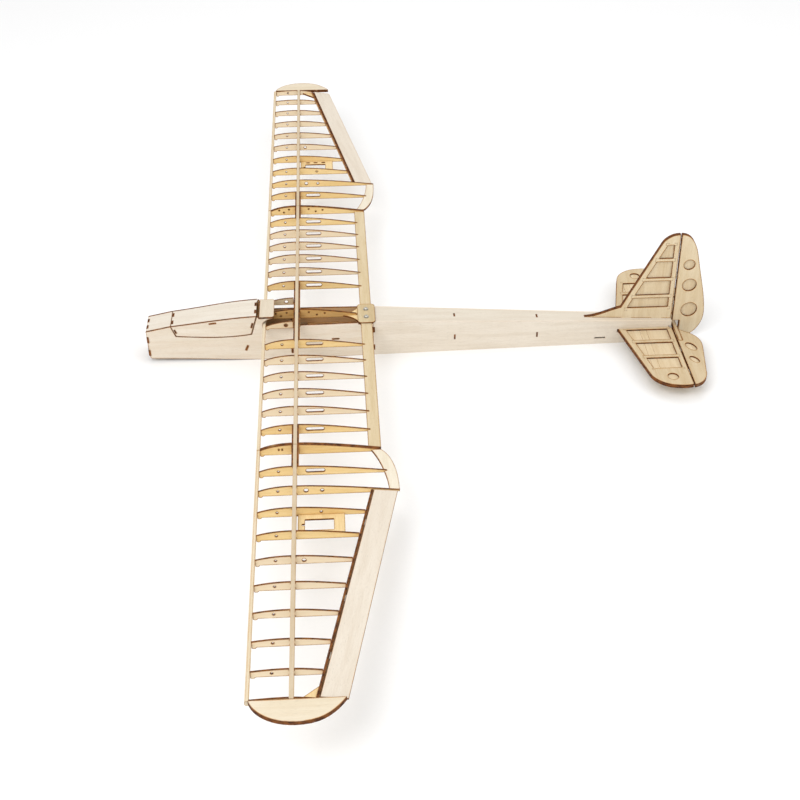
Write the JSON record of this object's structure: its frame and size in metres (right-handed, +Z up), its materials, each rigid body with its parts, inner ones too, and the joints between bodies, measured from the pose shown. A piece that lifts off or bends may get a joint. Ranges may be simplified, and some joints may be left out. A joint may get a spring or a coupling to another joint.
{
  "type": "rc glider airframe",
  "caption": "Uncovered built-up glider airframe: open ribbed polyhedral wing with ailerons, slim box fuselage with lift-off hatch, layered tail with elevator and rudder.",
  "frame": {"origin": "bottom centre of the bounding box: the belly rests on Z = 0 midway between nose and rudder", "axes": "+X to the tail, +Y to the starboard tip, +Z up"},
  "size_m": [0.864, 1.5764, 0.1874],
  "materials": {
    "sheet_balsa": "bare pale balsa sheet, laser-cut",
    "stick_balsa": "bare pale balsa stick",
    "rib_balsa": "golden balsa with burnt edges",
    "tail_core": "tan balsa core sheet",
    "birch_ply": "thin ply with dark laser-burnt edges",
    "hinge_nylon": "thin natural nylon",
    "screw_steel": "plated steel",
    "washer_steel": "plated steel",
    "pin_steel": "bright wire"
  },
  "bodies": {
    "airframe": {"aileron_servo_trays": "birch_ply", "boom_formers": "birch_ply", "boom_side_port": "sheet_balsa", "boom_side_starboard": "sheet_balsa", "boom_top_sheet": "sheet_balsa", "bottom_sheet": "sheet_balsa", "centre_rib": "birch_ply", "centre_ribs_port": "rib_balsa", "centre_ribs_starboard": "rib_balsa", "centre_spar_braces": "birch_ply", "curved_trailing_edges": "stick_balsa", "false_spars": "stick_balsa", "fin_core": "tail_core", "fin_frames": "sheet_balsa", "fuselage_side_port": "sheet_balsa", "fuselage_side_starboard": "sheet_balsa", "hatch_front_former": "birch_ply", "hatch_rear_former": "birch_ply", "hinge_fixed_leaves": "hinge_nylon", "hinge_pins": "pin_steel", "joint_ribs": "birch_ply", "joint_spar_braces": "birch_ply", "leading_edge_centre": "stick_balsa", "nose_former": "birch_ply", "nose_top_sheet": "sheet_balsa", "outer_leading_edges": "stick_balsa", "outer_ribs_port": "rib_balsa", "outer_ribs_starboard": "rib_balsa", "outer_spars": "stick_balsa", "root_nose_ribs": "birch_ply", "servo_tray": "birch_ply", "spar_centre": "stick_balsa", "spar_former": "birch_ply", "stabiliser_core": "tail_core", "stabiliser_frames": "sheet_balsa", "tail_post": "birch_ply", "trailing_edge_plate": "birch_ply", "trailing_edge_strip": "stick_balsa", "wing_bolt_block": "birch_ply", "wing_front_plate": "sheet_balsa", "wing_gussets": "birch_ply", "wing_rear_former": "birch_ply", "wing_screws": "screw_steel", "wing_tips": "stick_balsa", "wing_washers": "washer_steel"},
    "hatch": {"hatch_sides": "sheet_balsa", "hatch_top": "sheet_balsa", "hatch_formers": "birch_ply"},
    "aileron_starboard": {"aileron_starboard": "stick_balsa", "aileron_leaves_starboard": "hinge_nylon"},
    "aileron_port": {"aileron_port": "stick_balsa", "aileron_leaves_port": "hinge_nylon"},
    "elevator": {"elevator_core": "tail_core", "elevator_frames": "sheet_balsa", "elevator_joiner": "birch_ply", "elevator_leaves": "hinge_nylon"},
    "rudder": {"rudder_core": "tail_core", "rudder_frames": "sheet_balsa", "rudder_leaves": "hinge_nylon"}
  },
  "joints": [
    {"name": "aileron_port_hinge", "type": "hinge", "parent": "airframe", "child": "aileron_port", "pos_m": [-0.13797, -0.58298, 0.07628], "axis": [0.2028, 0.9776, -0.0569], "range_deg": [-20, 20]},
    {"name": "aileron_starboard_hinge", "type": "hinge", "parent": "airframe", "child": "aileron_starboard", "pos_m": [-0.13797, 0.58298, 0.07628], "axis": [-0.2028, 0.9776, 0.0569], "range_deg": [-20, 20]},
    {"name": "elevator_hinge", "type": "hinge", "parent": "airframe", "child": "elevator", "pos_m": [0.3825, 0, 0.023], "axis": [0, 1, 0], "range_deg": [-25, 25]},
    {"name": "rudder_hinge", "type": "hinge", "parent": "airframe", "child": "rudder", "pos_m": [0.38022, 0, 0.114], "axis": [-0.0332, 0, 0.9994], "range_deg": [-25, 25]},
    {"name": "hatch_lift", "type": "slide", "parent": "airframe", "child": "hatch", "axis": [0, 0, 1], "range_m": [0, 0.04]}
  ],
  "couplings": [
    {"joint": "aileron_starboard_hinge", "follows": "aileron_port_hinge", "ratio": -1}
  ]
}
